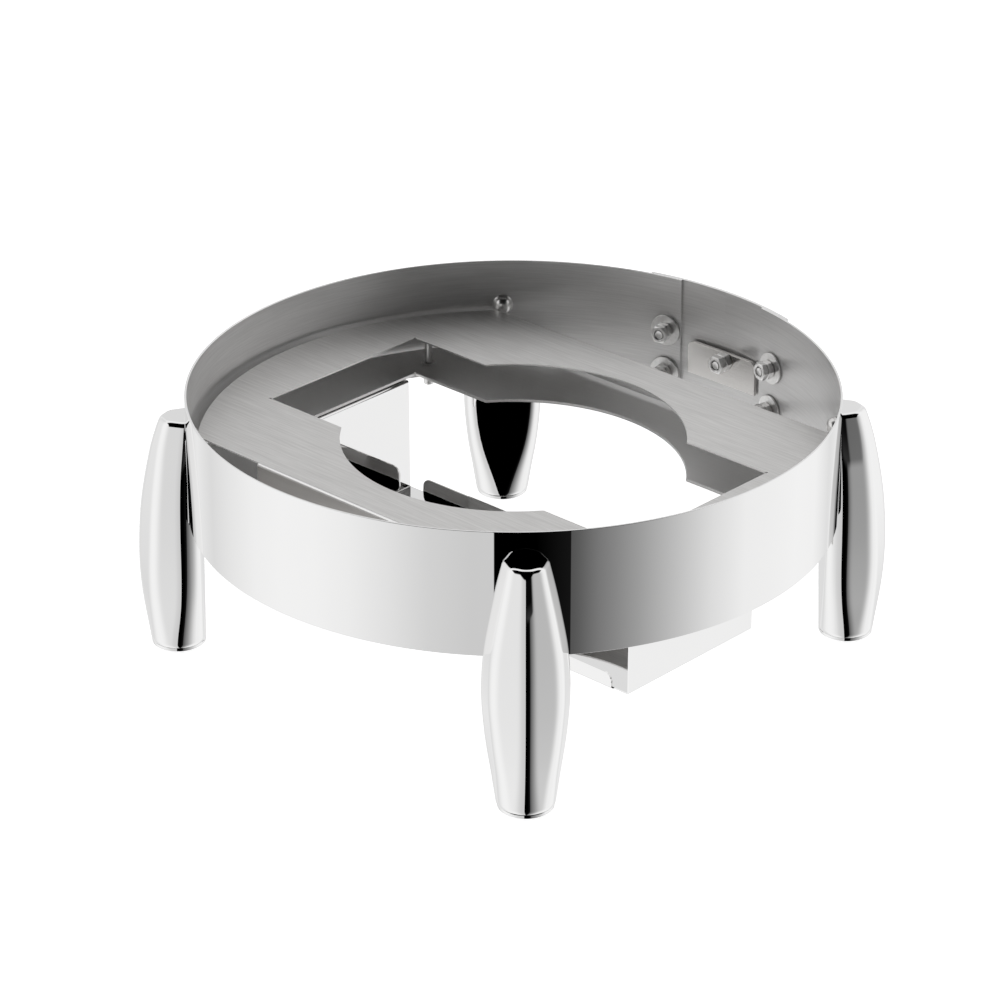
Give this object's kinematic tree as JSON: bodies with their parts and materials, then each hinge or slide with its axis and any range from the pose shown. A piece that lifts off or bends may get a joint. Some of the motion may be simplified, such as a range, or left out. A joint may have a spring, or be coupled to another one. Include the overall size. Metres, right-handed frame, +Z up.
{
  "type": "roll top chafer stand",
  "caption": "Round polished stand of a roll-top chafing dish: split band on bulged legs, flanged shelves, hanging heater tray and bolted hinge base.",
  "frame": {"origin": "on the band's axis at the height of the table", "axes": "+Z up, +X along the heater tray, +Y towards the lid hinge"},
  "size_m": [0.4098, 0.4148, 0.1757],
  "materials": {
    "mirror_steel": "mirror polished stainless steel",
    "brushed_steel": "satin brushed stainless steel",
    "fastener_steel": "bright turned steel"
  },
  "bodies": {
    "root": {"domed_nut_back_left": "mirror_steel", "domed_nut_back_right": "mirror_steel", "domed_nut_front_left": "mirror_steel", "domed_nut_front_right": "mirror_steel", "foot_pad_back_left": "mirror_steel", "foot_pad_back_right": "mirror_steel", "foot_pad_front_left": "mirror_steel", "foot_pad_front_right": "mirror_steel", "heater_tray": "mirror_steel", "hinge_base_plate": "mirror_steel", "hinge_bolt_centre": "fastener_steel", "hinge_bolt_lower_left": "fastener_steel", "hinge_bolt_lower_right": "fastener_steel", "hinge_bolt_upper_left": "fastener_steel", "hinge_bolt_upper_right": "fastener_steel", "hinge_clamp_plate": "brushed_steel", "hinge_lock_nut_centre": "fastener_steel", "hinge_lock_nut_lower_left": "fastener_steel", "hinge_lock_nut_lower_right": "fastener_steel", "hinge_lock_nut_upper_left": "fastener_steel", "hinge_lock_nut_upper_right": "fastener_steel", "hinge_nut_centre": "fastener_steel", "hinge_nut_lower_left": "fastener_steel", "hinge_nut_lower_right": "fastener_steel", "hinge_nut_upper_left": "fastener_steel", "hinge_nut_upper_right": "fastener_steel", "hinge_washer_lower_left": "fastener_steel", "hinge_washer_lower_right": "fastener_steel", "hinge_washer_upper_left": "fastener_steel", "hinge_washer_upper_right": "fastener_steel", "leg_back_left": "mirror_steel", "leg_back_right": "mirror_steel", "leg_front_left": "mirror_steel", "leg_front_right": "mirror_steel", "leg_stud_back_left": "fastener_steel", "leg_stud_back_right": "fastener_steel", "leg_stud_front_left": "fastener_steel", "leg_stud_front_right": "fastener_steel", "lower_shelf": "brushed_steel", "ring_band": "mirror_steel", "shelf_post_back_left": "fastener_steel", "shelf_post_back_right": "fastener_steel", "shelf_post_front_left": "fastener_steel", "shelf_post_front_right": "fastener_steel", "shelf_post_nut_back_left": "fastener_steel", "shelf_post_nut_back_right": "fastener_steel", "shelf_post_nut_front_left": "fastener_steel", "shelf_post_nut_front_right": "fastener_steel", "shelf_post_washer_back_left": "fastener_steel", "shelf_post_washer_back_right": "fastener_steel", "shelf_post_washer_front_left": "fastener_steel", "shelf_post_washer_front_right": "fastener_steel", "upper_shelf": "brushed_steel"}
  },
  "joints": []
}
